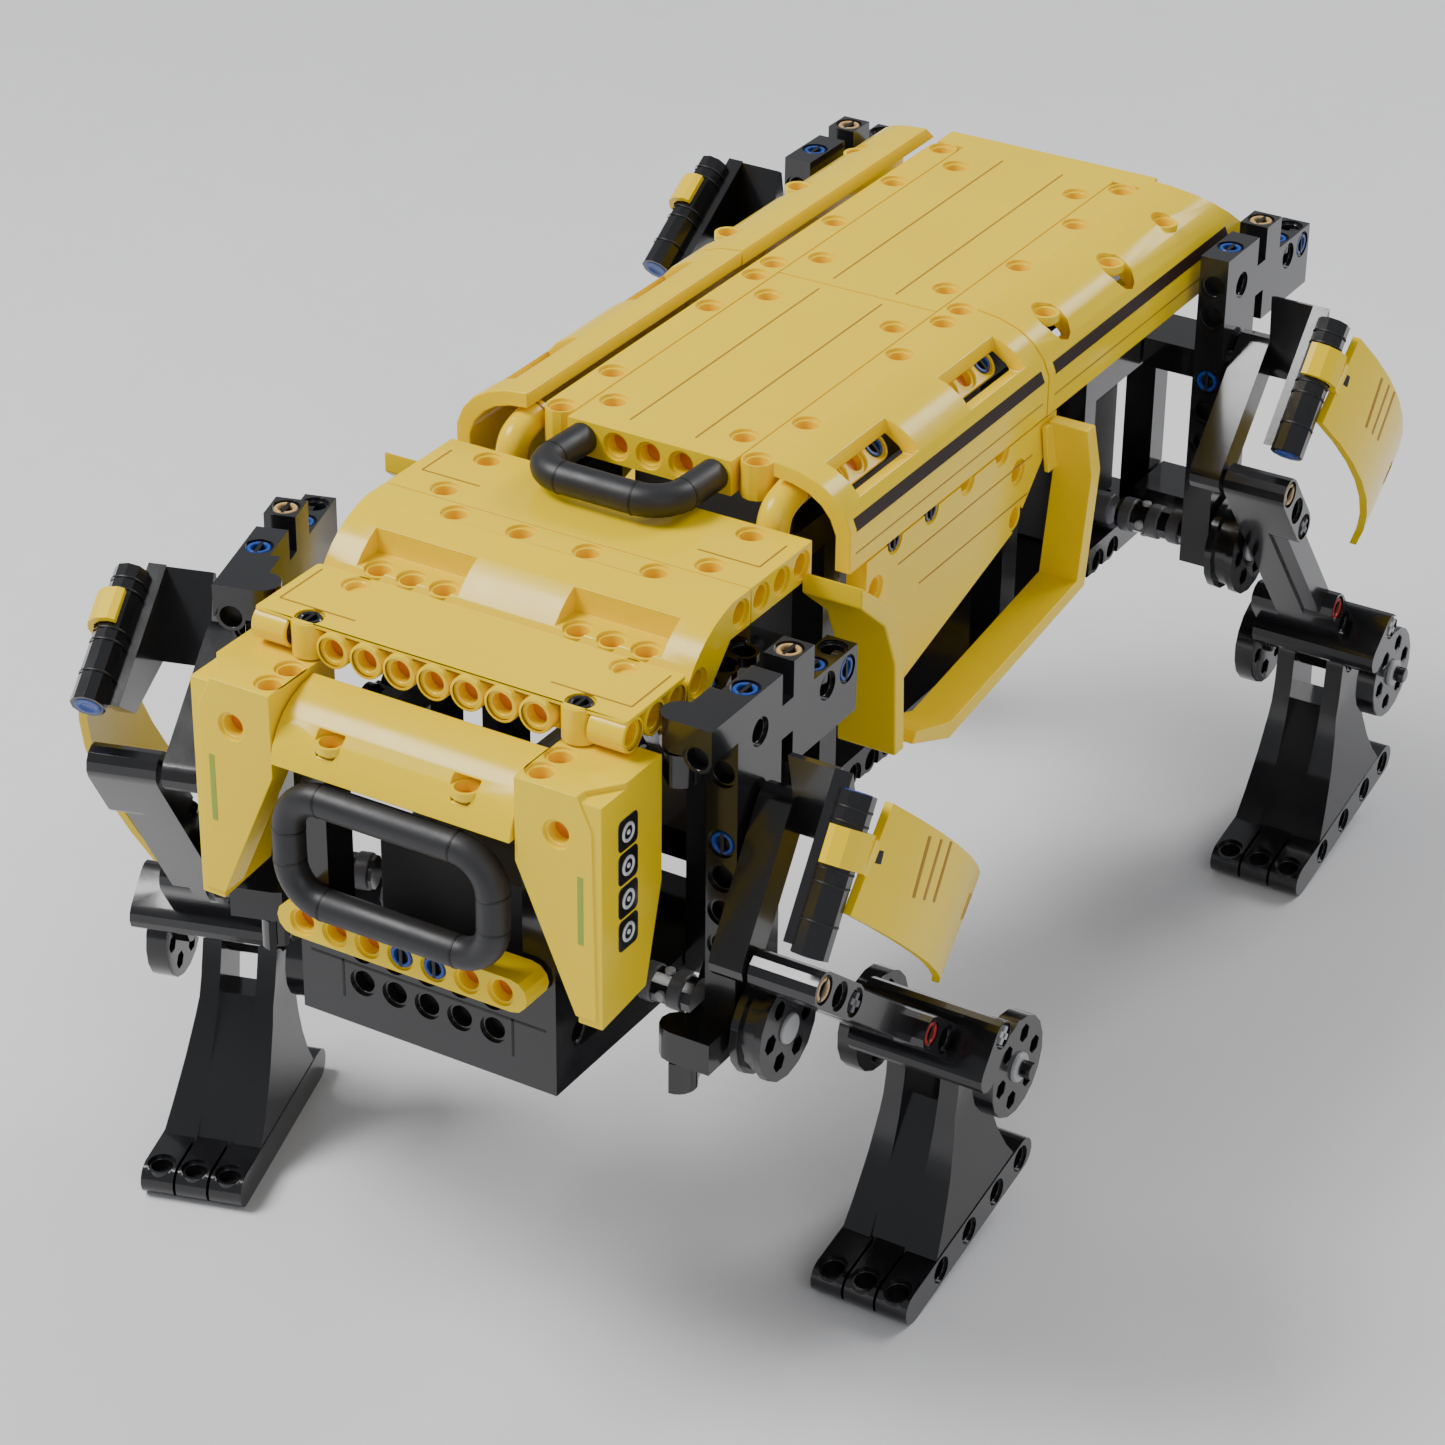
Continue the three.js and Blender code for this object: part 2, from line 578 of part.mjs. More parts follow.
function addLeg({ tag, side, rear, yaw, rocker: rockerAngle, thigh: thighAngle, foot: footAngle }) {
  const flip = side < 0;
  const [pinX, pinY] = KINGPIN;
  const kingpin = new THREE.Group();
  kingpin.position.set(side * pinX * M, (pinY + (rear ? REAR_SHIFT : 0)) * M, rear ? REAR_RAISE * M : 0);
  kingpin.rotation.z = THREE.MathUtils.degToRad(yaw);
  dog.add(kingpin);
  const hip = new THREE.Group();
  hip.position.set(-side * pinX * M, -pinY * M, 0);
  kingpin.add(hip);
  const bracket = rear ? legPieces.rearBracket : legPieces.frontBracket;
  addPiece(hip, `hip_bracket_${tag}`, bracket, black(), flip);
  addPiece(hip, `crank_disc_${tag}`, legPieces.crank, black(), flip);
  const upper = pivotGroup(hip, rockerAngle, ...ROCKER_PIVOT);
  addPiece(upper, `rocker_${tag}`, legPieces.rocker, black(), flip);
  addPiece(upper, `leg_guard_${tag}`, legPieces.guard, yellow(), flip);
  const middle = pivotGroup(upper, thighAngle - rockerAngle, ROCKER_LENGTH, 0);
  addPiece(middle, `thigh_${tag}`, legPieces.thigh, black(), flip);
  const lower = pivotGroup(middle, footAngle - thighAngle, THIGH_LENGTH, 0);
  addPiece(lower, `lower_leg_${tag}`, legPieces.lowerLeg, black(), flip);
  addPiece(lower, `knee_axle_${tag}`, legPieces.axle, black(), flip);
}

LEGS.forEach(addLeg);

// Stand the origin on the ground under the middle of the bounding box.
dog.updateMatrixWorld(true);
const bounds = new THREE.Box3().setFromObject(dog, true);
const middle = bounds.getCenter(new THREE.Vector3());
dog.position.set(-middle.x, -middle.y, -bounds.min.z);

export default dog;
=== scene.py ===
"""Looks of the quadruped robot dog: beam-system plates, hoses, pins and walking linkages.

Shapes are drawn in modules (8 mm, the pitch of the pin holes) with X to the right side,
Y towards the tail and Z up. Zero is the top of the head plate, at its front row of holes.
"""
import json
import math

import bmesh
import bpy
from mathutils import Matrix, Vector
from mathutils.bvhtree import BVHTree


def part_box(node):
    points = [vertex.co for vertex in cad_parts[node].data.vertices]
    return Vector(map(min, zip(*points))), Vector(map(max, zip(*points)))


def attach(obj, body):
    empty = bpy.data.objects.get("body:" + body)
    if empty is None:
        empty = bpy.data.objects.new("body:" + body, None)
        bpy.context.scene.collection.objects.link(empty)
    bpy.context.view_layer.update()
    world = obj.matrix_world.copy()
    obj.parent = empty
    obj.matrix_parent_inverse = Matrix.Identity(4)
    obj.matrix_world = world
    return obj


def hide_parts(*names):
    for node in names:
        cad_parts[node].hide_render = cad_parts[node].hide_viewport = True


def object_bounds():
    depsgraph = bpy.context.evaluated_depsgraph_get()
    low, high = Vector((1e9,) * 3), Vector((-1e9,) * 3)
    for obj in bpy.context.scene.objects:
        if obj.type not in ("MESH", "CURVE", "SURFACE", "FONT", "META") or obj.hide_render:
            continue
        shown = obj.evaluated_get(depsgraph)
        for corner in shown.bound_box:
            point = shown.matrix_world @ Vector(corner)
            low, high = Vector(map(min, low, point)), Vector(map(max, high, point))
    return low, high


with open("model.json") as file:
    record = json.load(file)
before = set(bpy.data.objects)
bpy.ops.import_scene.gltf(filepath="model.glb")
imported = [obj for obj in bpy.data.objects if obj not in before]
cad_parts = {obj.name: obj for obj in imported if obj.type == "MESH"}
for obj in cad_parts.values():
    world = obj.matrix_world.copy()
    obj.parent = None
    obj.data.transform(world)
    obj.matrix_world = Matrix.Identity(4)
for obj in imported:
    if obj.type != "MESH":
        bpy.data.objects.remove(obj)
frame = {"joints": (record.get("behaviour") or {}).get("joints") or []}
cad_box = [list(corner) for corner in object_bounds()]

M = 0.008                # one module in metres
ROUND = 24               # sides of a pin hole and of other turned shapes
X = Vector((1, 0, 0))
Y = Vector((0, 1, 0))
Z = Vector((0, 0, 1))

# ---- where the model lies in the frame -----------------------------------
plate_low, plate_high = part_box("head_top_plate")
ORIGIN = Vector(((plate_low.x + plate_high.x) / 2, plate_low.y + 0.5 * M, plate_high.z))
BODY_FRAME = Matrix.Translation(ORIGIN) @ Matrix.Diagonal((M, M, M, 1))


# ---- materials -------------------------------------------------------------
CLOUD_SCALE = 22         # broad patches of slightly different tint
SMUDGE_SCALE = 140       # uneven gloss, as from handling
DULLEST = 1.35           # roughness of the dullest patch, against the glossiest
GRAIN_DEPTH = 0.0004     # metres
COAT_ROUGHNESS = 0.08


def noise(nodes, scale, detail):
    texture = nodes.new("ShaderNodeTexNoise")
    texture.inputs["Scale"].default_value = scale
    texture.inputs["Detail"].default_value = detail
    return texture


def plastic(name, color, shade, rough, bump=0.02, scale=900, coat=0.0, gleam=0.5):
    """Moulded plastic: faint cloudy tint, uneven gloss and a very fine orange-peel surface."""
    material = bpy.data.materials.new(name)
    material.use_nodes = True
    nodes = material.node_tree.nodes
    links = material.node_tree.links
    shader = nodes["Principled BSDF"]
    coords = nodes.new("ShaderNodeTexCoord")
    cloud = noise(nodes, CLOUD_SCALE, 5)
    tint = nodes.new("ShaderNodeValToRGB")
    tint.color_ramp.elements[0].position = 0.3
    tint.color_ramp.elements[0].color = (*shade, 1)
    tint.color_ramp.elements[1].position = 0.7
    tint.color_ramp.elements[1].color = (*color, 1)
    smudge = noise(nodes, SMUDGE_SCALE, 6)
    gloss = nodes.new("ShaderNodeMapRange")
    gloss.inputs["From Min"].default_value = 0.35
    gloss.inputs["From Max"].default_value = 0.75
    gloss.inputs["To Min"].default_value = rough
    gloss.inputs["To Max"].default_value = rough * DULLEST
    grain = noise(nodes, scale, 3)
    height = nodes.new("ShaderNodeBump")
    height.inputs["Strength"].default_value = bump
    height.inputs["Distance"].default_value = GRAIN_DEPTH
    for texture in (cloud, smudge, grain):
        links.new(coords.outputs["Object"], texture.inputs["Vector"])
    links.new(cloud.outputs["Fac"], tint.inputs["Fac"])
    links.new(tint.outputs["Color"], shader.inputs["Base Color"])
    links.new(smudge.outputs["Fac"], gloss.inputs["Value"])
    links.new(gloss.outputs["Result"], shader.inputs["Roughness"])
    links.new(grain.outputs["Fac"], height.inputs["Height"])
    links.new(height.outputs["Normal"], shader.inputs["Normal"])
    shader.inputs["Coat Weight"].default_value = coat
    shader.inputs["Coat Roughness"].default_value = COAT_ROUGHNESS
    shader.inputs["Specular IOR Level"].default_value = gleam
    return material


YELLOW = plastic("yellow_plastic", (0.98, 0.69, 0.0), (0.95, 0.65, 0.0), 0.2, coat=0.04, gleam=0.35)
# Painted shade: the darker orange that closes the bottom of pin holes in yellow pieces stands in for the
# shade deep in the hole.
YELLOW_HOLE_SHADE = plastic("yellow_hole_painted_shade", (0.80, 0.26, 0.004), (0.62, 0.17, 0.003), 0.4)
# Painted shade: the dark orange of engraved lines and of hose seams on yellow pieces stands in for the
# shade in the groove.
GROOVE_SHADE = plastic("groove_painted_shade", (0.42, 0.22, 0.004), (0.34, 0.17, 0.003), 0.5)
BLACK = plastic("black_plastic", (0.012, 0.012, 0.014), (0.006, 0.006, 0.007), 0.16, coat=0.4)
# Painted shade: a black darker than the plastic, for hole bottoms, the slots and hollows of pins, seams,
# grooves and the square hole in the guard.
BLACK_RECESS_SHADE = plastic("black_recess_painted_shade", (0.004, 0.004, 0.005), (0.002, 0.002, 0.002), 0.45)
HOSE = plastic("hose_rubber", (0.022, 0.022, 0.025), (0.014, 0.014, 0.016), 0.42, bump=0.12, scale=500)
GREY = plastic("grey_plastic", (0.12, 0.12, 0.13), (0.085, 0.085, 0.095), 0.34)
PALE = plastic("pale_face", (0.45, 0.45, 0.46), (0.36, 0.36, 0.38), 0.3)
BLUE = plastic("blue_pin", (0.012, 0.07, 0.38), (0.008, 0.045, 0.26), 0.25)
TAN = plastic("tan_pin", (0.62, 0.40, 0.17), (0.50, 0.31, 0.12), 0.3)
RED = plastic("red_pin", (0.45, 0.012, 0.01), (0.32, 0.008, 0.008), 0.3)
STRIPE = plastic("dark_stripe", (0.028, 0.012, 0.008), (0.02, 0.009, 0.006), 0.3)
GREEN = plastic("green_strip", (0.32, 0.42, 0.03), (0.26, 0.34, 0.03), 0.3)
LAMP = plastic("lamp_glass", (0.75, 0.76, 0.78), (0.6, 0.61, 0.64), 0.12, coat=0.5)


# ---- mesh building -------------------------------------------------------
SHARP = 38               # degrees between faces above which an edge is not smoothed


class Piece:
    """One visible piece, gathered from simple solids drawn in modules."""

    def __init__(self, name, body, node, slot, matrix=BODY_FRAME):
        self.name = name
        self.body = body
        self.node = node
        self.slot = slot
        self.matrix = matrix
        self.mesh = bmesh.new()
        self.materials = []
        self.tree = None

    def add(self, solid, material, matrix=None):
        """Takes in a solid, moved by the matrix where one is given, and frees it."""
        if material not in self.materials:
            self.materials.append(material)
        index = self.materials.index(material)
        if matrix is not None:
            solid.transform(matrix)
        for face in solid.faces:
            face.material_index = index
        append(self.mesh, solid)

    def done(self):
        """Makes the Blender object, in the row frame, in place of its CAD node."""
        self.mesh.transform(self.matrix)
        if self.matrix.determinant() < 0:
            bmesh.ops.reverse_faces(self.mesh, faces=self.mesh.faces)
        data = to_data(self.mesh, self.name)
        for material in self.materials:
            data.materials.append(material)
        data.set_sharp_from_angle(angle=math.radians(SHARP))
        piece = bpy.data.objects.new(self.name, data)
        piece.modifiers.new("even_shading", "WEIGHTED_NORMAL").keep_sharp = True
        bpy.context.scene.collection.objects.link(piece)
        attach(piece, self.body)
        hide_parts(self.node)


def to_data(solid, name):
    """Blender mesh data of a bmesh, which is freed."""
    data = bpy.data.meshes.new(name)
    solid.to_mesh(data)
    solid.free()
    return data


def append(target, solid):
    """Adds one bmesh to another and frees it."""
    data = to_data(solid, "part")
    target.from_mesh(data)
    bpy.data.meshes.remove(data)


def circle(a, b, r, sides=ROUND):
    angles = (2 * math.pi * i / sides for i in range(sides))
    return [(a + r * math.cos(angle), b + r * math.sin(angle)) for angle in angles]


def arc(a, b, r, start, turn, steps):
    """Points on a circle about (a, b) from a start angle, in degrees, the last one included."""
    angles = (math.radians(start + turn * i / steps) for i in range(steps + 1))
    return [(a + r * math.cos(angle), b + r * math.sin(angle)) for angle in angles]


def stadium(a0, a1, half=0.48):
    """A bar with round ends from a0 to a1, the centres of its end circles."""
    return arc(a1, 0, half, -90, 180, 10) + arc(a0, 0, half, 90, 180, 10)


def rectangle(a0, a1, b0, b1, r=0.0, steps=4):
    """A rectangle, with its corners rounded to r where that is given."""
    if not r:
        return [(a0, b0), (a1, b0), (a1, b1), (a0, b1)]
    corners = ((a1 - r, b0 + r), (a1 - r, b1 - r), (a0 + r, b1 - r), (a0 + r, b0 + r))
    points = []
    for quarter, (a, b) in enumerate(corners):
        points += arc(a, b, r, 90 * quarter - 90, 90, steps)
    return points


def slab(outline, low, high, holes=(), bevel=0.05):
    """A plate from z = low to high with rounded edges and round holes (x, y, radius)."""
    data = bpy.data.curves.new("outline", "CURVE")
    data.dimensions = "2D"
    data.fill_mode = "BOTH"
    data.extrude = (high - low) / 2 - bevel
    data.bevel_depth = bevel
    data.bevel_resolution = 1
    data.offset = -bevel
    for points in [outline] + [circle(*hole) for hole in holes]:
        spline = data.splines.new("POLY")
        spline.points.add(len(points) - 1)
        for point, (a, b) in zip(spline.points, points):
            point.co = (a, b, 0, 1)
        spline.use_cyclic_u = True
    solid = evaluated(bpy.data.objects.new("outline", data))
    bpy.data.curves.remove(data)
    bmesh.ops.remove_doubles(solid, verts=solid.verts, dist=1e-5)
    bmesh.ops.recalc_face_normals(solid, faces=solid.faces)
    smooth(solid)
    solid.transform(Matrix.Translation((0, 0, (low + high) / 2)))
    return solid


def evaluated(holder):
    """The finished shape of an object that is only made for it, and removed."""
    bpy.context.scene.collection.objects.link(holder)
    graph = bpy.context.evaluated_depsgraph_get()
    data = bpy.data.meshes.new_from_object(holder.evaluated_get(graph))
    bpy.data.objects.remove(holder)
    solid = bmesh.new()
    solid.from_mesh(data)
    bpy.data.meshes.remove(data)
    return solid


def smooth(solid):
    for face in solid.faces:
        face.smooth = True


def facing(point, normal):
    """Matrix that puts a shape drawn along +Z at a point, looking along normal."""
    turn = Vector(normal).normalized().to_track_quat("Z", "Y").to_matrix()
    return Matrix.Translation(Vector(point)) @ turn.to_4x4()


def lathe(profile, sides=ROUND):
    """Turned shape from (radius, height) points about Z."""
    solid = bmesh.new()
    rings = []
    for radius, height in profile:
        places = circle(0, 0, radius, sides) if radius else [(0, 0)]
        rings.append([solid.verts.new((a, b, height)) for a, b in places])
    for lower, upper in zip(rings, rings[1:]):
        for i in range(sides):
            j = (i + 1) % sides
            corners = [ring[k % len(ring)] for ring, k in ((lower, i), (lower, j), (upper, j), (upper, i))]
            unique = list(dict.fromkeys(corners))
            if len(unique) > 2:
                solid.faces.new(unique)
    smooth(solid)
    bmesh.ops.recalc_face_normals(solid, faces=solid.faces)
    return solid


def rod(radius, low, high, bevel=0.06):
    """Round bar along Z with softened ends."""
    shoulder = 0.3 * bevel
    chamfer = [(radius - bevel, 0), (radius - shoulder, shoulder), (radius, bevel)]
    lower = [(r, low + h) for r, h in chamfer]
    upper = [(r, high - h) for r, h in reversed(chamfer)]
    return lathe([(0, low), *lower, *upper, (0, high)])


HOLE = 0.385             # radius of the wide mouth of a pin hole
STEP = 0.085             # depth of the wide mouth
BORE = 0.29              # radius of the hole itself
SLACK = 0.01             # overlap between a hole and what lines it


def socket(piece, point, normal, rim, core, depth=0.4):
    """Mouth of a pin hole: a sunk ring with the bore inside it, closed by a dark core that paints the
    shade deep in the hole.
    """
    place = facing(point, normal)
    outer = HOLE + 0.015
    ring = [(outer, -0.30), (outer, -STEP), (BORE + 0.02, -STEP), (BORE, -STEP - 0.02), (BORE, -depth)]
    piece.add(lathe(ring), rim, place)
    piece.add(lathe([(BORE + SLACK, -depth), (0, -depth)]), core, place)


def pin(piece, point, normal, material, style="round"):
    """End of a pin seen in its hole: slotted ring, or a cross axle; the slot and the hollow of the ring
    are painted dark as shade.
    """
    place = facing(point, normal)
    if style == "round":
        ring = [(0.33, -0.2), (0.33, -0.05), (0.30, -0.02), (0.23, -0.02), (0.2, -0.05), (0.2, -0.2)]
        piece.add(lathe(ring), material, place)
        piece.add(slab(rectangle(-0.05, 0.05, -0.3, 0.3), -0.2, -0.012, bevel=0.01), BLACK_RECESS_SHADE, place)
        piece.add(lathe([(0.2, -0.14), (0, -0.14)]), BLACK_RECESS_SHADE, place)
    else:
        for turn in (0, 90):
            bar = slab(rectangle(-0.085, 0.085, -0.26, 0.26), -0.3, 0.02, bevel=0.02)
            piece.add(bar, material, place @ Matrix.Rotation(math.radians(turn), 4, "Z"))


def smooth_route(points, steps):
    """Catmull-Rom route through points."""
    p = [Vector(point) for point in (points[0], *points, points[-1])]
    route = []
    for a, b, c, d in zip(p, p[1:], p[2:], p[3:]):
        for i in range(steps):
            t = i / steps
            bend = (2 * a - 5 * b + 4 * c - d) * t * t + (3 * b - a - 3 * c + d) * t ** 3
            route.append(0.5 * ((2 * b) + (c - a) * t + bend))
    route.append(p[-1])
    return route


def tube(route, radius, sides=20, closed=False):
    """Round hose along a route."""
    solid = bmesh.new()
    count = len(route)
    side = None
    rings = []
    for i, point in enumerate(route):
        before = route[i - 1] if i or closed else route[0]
        after = route[(i + 1) % count] if i + 1 < count or closed else route[-1]
        along = (after - before).normalized()
        if side is None:
            side = along.orthogonal().normalized()
        side = (side - along * side.dot(along)).normalized()
        up = along.cross(side)
        rings.append([solid.verts.new(point + a * side + b * up) for a, b in circle(0, 0, radius, sides)])
    skin(solid, rings)
    if closed:
        first, last = rings[0], rings[-1]
        shift = min(range(sides), key=lambda k: (last[0].co - first[k].co).length)
        skin(solid, [last, first[shift:] + first[:shift]])
    else:
        solid.faces.new(rings[0])
        solid.faces.new(list(reversed(rings[-1])))
    for face in solid.faces:
        face.smooth = len(face.verts) == 4
    bmesh.ops.recalc_face_normals(solid, faces=solid.faces)
    return solid


def skin(solid, rings):
    """Faces between each ring of points and the next."""
    for lower, upper in zip(rings, rings[1:]):
        for k in range(len(lower)):
            j = (k + 1) % len(lower)
            solid.faces.new((lower[k], lower[j], upper[j], upper[k]))


def line(piece, a, b, normal, width=0.05, material=None):
    """Fine engraved line on a flat face: a thin strip whose default darker colour paints the shade in the
    groove.
    """
    a, b, normal = Vector(a), Vector(b), Vector(normal)
    along = (b - a).normalized()
    normal = (normal - along * normal.dot(along)).normalized()
    basis = Matrix((along, normal.cross(along), normal)).transposed().to_4x4()
    strip = slab(rectangle(0, (b - a).length, -width / 2, width / 2), -0.03, 0.01, bevel=0.003)
    piece.add(strip, material or GROOVE_SHADE, Matrix.Translation(a) @ basis)


# ---- pieces that start from the exact CAD shape -----------------------------
REACH = 6                # modules off the surface where a search ray starts
RING = 0.43              # radius of the ring of rays round a hole, just outside its mouth
POINT = 0.02             # radius of that ring for a single point
RAYS = 5
DRILLED = 0.42           # depth of a pin hole
AXES = {"x": X, "-x": -X, "y": Y, "-y": -Y, "z": Z, "-z": -Z}


def cad_copy(node, matrix):
    """The CAD node's own mesh, in modules, as a closed shape."""
    source = bpy.data.objects[node]
    solid = bmesh.new()
    solid.from_mesh(source.data)
    solid.transform(matrix.inverted() @ source.matrix_world)
    bmesh.ops.remove_doubles(solid, verts=solid.verts, dist=2e-4)
    if matrix.determinant() < 0:
        bmesh.ops.reverse_faces(solid, faces=solid.faces)
    return solid


def modified(solid, kind, settings):
    """The solid after one Blender modifier."""
    data = to_data(solid, "before")
    holder = bpy.data.objects.new("before", data)
    modifier = holder.modifiers.new(kind, kind)
    for key, value in settings.items():
        setattr(modifier, key, value)
    result = evaluated(holder)
    bpy.data.meshes.remove(data)
    return result


def soften(solid, width):
    """Rounds every sharp edge, after merging flat regions into whole faces."""
    flat = math.radians(1.0)
    bmesh.ops.dissolve_limit(solid, angle_limit=flat, verts=solid.verts, edges=solid.edges)
    settings = {"width": width, "segments": 2, "limit_method": "ANGLE",
                "angle_limit": math.radians(28), "use_clamp_overlap": True}
    solid = modified(solid, "BEVEL", settings)
    smooth(solid)
    return solid


def drill(solid, mouths, radius, depth):
    """Cuts blind round holes at (point, normal) mouths."""
    cutter = bmesh.new()
    for point, normal in mouths:
        plug = lathe([(0, -depth), (radius, -depth), (radius, 0.15), (0, 0.15)])
        plug.transform(facing(point, normal))
        append(cutter, plug)
    data = to_data(cutter, "cutter")
    tool = bpy.data.objects.new("cutter", data)
    bpy.context.scene.collection.objects.link(tool)
    settings = {"operation": "DIFFERENCE", "solver": "EXACT", "object": tool}
    solid = modified(solid, "BOOLEAN", settings)
    bpy.data.objects.remove(tool)
    bpy.data.meshes.remove(data)
    return solid


def spots(axis, xs, ys, zs):
    """Every combination of places, looked at along one direction."""
    return [((x, y, z), axis) for x in xs for y in ys for z in zs]


def mouths_on(tree, holes, ring=RING):
    """Moves each hole along its own direction onto the surface: (point, direction, slope) of each."""
    found = []
    for point, axis in holes:
        normal = AXES[axis]
        side = normal.orthogonal().normalized()
        start = Vector(point) + normal * REACH
        hits = []
        for k in range(RAYS):
            offset = Matrix.Rotation(2 * math.pi * k / RAYS, 3, normal) @ side * ring
            hit, slope = tree.ray_cast(start + offset, -normal)[:2]
            if hit is not None:
                hits.append((hit.dot(normal), slope if slope.dot(normal) > 0 else -slope))
        if len(hits) > 2:
            hits.sort(key=lambda pair: pair[0])
            level, slope = hits[len(hits) // 2]
            found.append((start + normal * (level - start.dot(normal)), normal, slope))
    return found


def moulded(node, body, slot, material, core, holes=(), pins=(), matrix=BODY_FRAME, width=0.05):
    """A piece shaped like its CAD node, with softened edges, pin holes and pin ends."""
    piece = Piece(node + "_shape", body, node, slot, matrix)
    solid = cad_copy(node, matrix)
    tree = BVHTree.FromBMesh(solid)
    mouths = mouths_on(tree, holes)
    if mouths:
        solid = drill(solid, [mouth[:2] for mouth in mouths], HOLE + SLACK, DRILLED)
    piece.add(soften(solid, width), material)
    for point, normal, _ in mouths:
        socket(piece, point, normal, material, core)
    for point, axis, kind, style in pins:
        for mouth, normal, _ in mouths_on(tree, [(point, axis)]):
            pin(piece, mouth, normal, kind, style)
    piece.tree = tree
    return piece


SCRIBE_STEP = 1.5        # longest straight stretch of an engraved line
SCRIBE_GAP = 2.5         # a longer jump than this is a break in the surface


def scribe(piece, points, axis, width=0.05, material=None):
    """Engraved line on the surface through points seen along one direction; its default colour paints the
    shade in the groove.
    """
    for a, b in zip(points, points[1:]):
        a, b = Vector(a), Vector(b)
        steps = max(1, round((b - a).length / SCRIBE_STEP))
        marks = [(a.lerp(b, i / steps), axis) for i in range(steps + 1)]
        ends = mouths_on(piece.tree, marks, POINT)
        for start, end in zip(ends, ends[1:]):
            if (end[0] - start[0]).length < SCRIBE_GAP:
                slope = (start[2] + end[2]).normalized()
                line(piece, start[0], end[0], slope, width, material)


# ---- the stage: floor, light and camera --------------------------------------
FLOOR_HALF = 4           # metres
SKY = (0.93, 0.95, 1.0, 1)
SKY_STRENGTH = 0.36
LIGHTS = {"key": ((-0.75, -0.55, 1.25), 0.6, 22),       # place, size in metres, power in watts
          "fill": ((1.2, -0.9, 0.8), 1.0, 4),
          "rim": ((0.5, 1.1, 1.1), 0.6, 10)}
LIT_POINT = Vector((0, 0, 0.1))


def floor():
    grid = bmesh.new()
    bmesh.ops.create_grid(grid, x_segments=1, y_segments=1, size=FLOOR_HALF)
    data = to_data(grid, "floor")
    data.materials.append(plastic("studio_floor", (0.86, 0.86, 0.87), (0.84, 0.84, 0.85), 0.55, scale=60))
    plane = bpy.data.objects.new("floor", data)
    plane.location = (0, 0, cad_box[0][2])
    bpy.context.scene.collection.objects.link(plane)


def studio():
    floor()
    world = bpy.data.worlds.new("studio")
    world.use_nodes = True
    sky = world.node_tree.nodes["Background"]
    sky.inputs["Color"].default_value = SKY
    sky.inputs["Strength"].default_value = SKY_STRENGTH
    bpy.context.scene.world = world
    for name, (place, size, power) in LIGHTS.items():
        lamp = bpy.data.lights.new(name, "AREA")
        lamp.size = size
        lamp.energy = power
        light = bpy.data.objects.new(name, lamp)
        light.location = place
        light.rotation_euler = (Vector(place) - LIT_POINT).to_track_quat("Z", "Y").to_euler()
        bpy.context.scene.collection.objects.link(light)


CAMERA_PLACE = Vector((51.12, -72.54, 49.37))     # in modules
CAMERA_AZIMUTH = math.radians(30.745)
CAMERA_ELEVATION = math.radians(30.014)
CAMERA_ROLL = math.radians(0.622)
CAMERA_LENS = 103.33                              # millimetres


def camera():
    lens = bpy.data.cameras.new("photo_camera")
    lens.lens = CAMERA_LENS
    lens.clip_start = 0.05
    lens.clip_end = 20
    holder = bpy.data.objects.new("photo_camera", lens)
    right = Vector((math.cos(CAMERA_AZIMUTH), math.sin(CAMERA_AZIMUTH), 0))
    level = Vector((math.sin(CAMERA_AZIMUTH), -math.cos(CAMERA_AZIMUTH), 0))
    back = level * math.cos(CAMERA_ELEVATION) + Z * math.sin(CAMERA_ELEVATION)
    up = back.cross(right)
    across = math.cos(CAMERA_ROLL) * right + math.sin(CAMERA_ROLL) * up
    upward = math.cos(CAMERA_ROLL) * up - math.sin(CAMERA_ROLL) * right
    turn = Matrix((across, upward, back)).transposed().to_4x4()
    holder.matrix_world = Matrix.Translation(BODY_FRAME @ CAMERA_PLACE) @ turn
    bpy.context.scene.collection.objects.link(holder)
    bpy.context.scene.camera = holder


# ---- leg frames: x outward, y along the member, z across it -------------------
JOINTS = {joint["name"]: joint for joint in frame["joints"]}
TAGS = {"front_right": 1, "front_left": -1, "rear_right": 1, "rear_left": -1}
FOOT_ANGLE = {"front_right": 11.3, "front_left": 0, "rear_right": 12.1, "rear_left": 7}   # degrees
ROCKER_OUT, CRANK_OUT, KNEE_OUT = 8, 7.95, 9      # distance of the joints out from the body
ROCKER_BACK, ROCKER_DOWN = 2.9, 3.1               # the rocker's pivot from the head's zero


def joint_place(name):
    joint = JOINTS[name]
    return Vector(joint["pos_m"]), Vector(joint["axis"]).normalized()


def leg_frame(origin, axis, along, side, reach):
    """Frame at a joint: x away from the body, y along the member, z = joint axis x y."""
    along = along.normalized()
    ex, ez = axis * side, axis.cross(along).normalized()
    turn = Matrix((ex, along, ez)).transposed().to_4x4()
    return Matrix.Translation(origin - ex * reach * M) @ turn @ Matrix.Diagonal((M, M, M, 1))


def across_axis(vector, axis):
    """The part of a vector that lies across a joint's axis."""
    return vector - axis * vector.dot(axis)


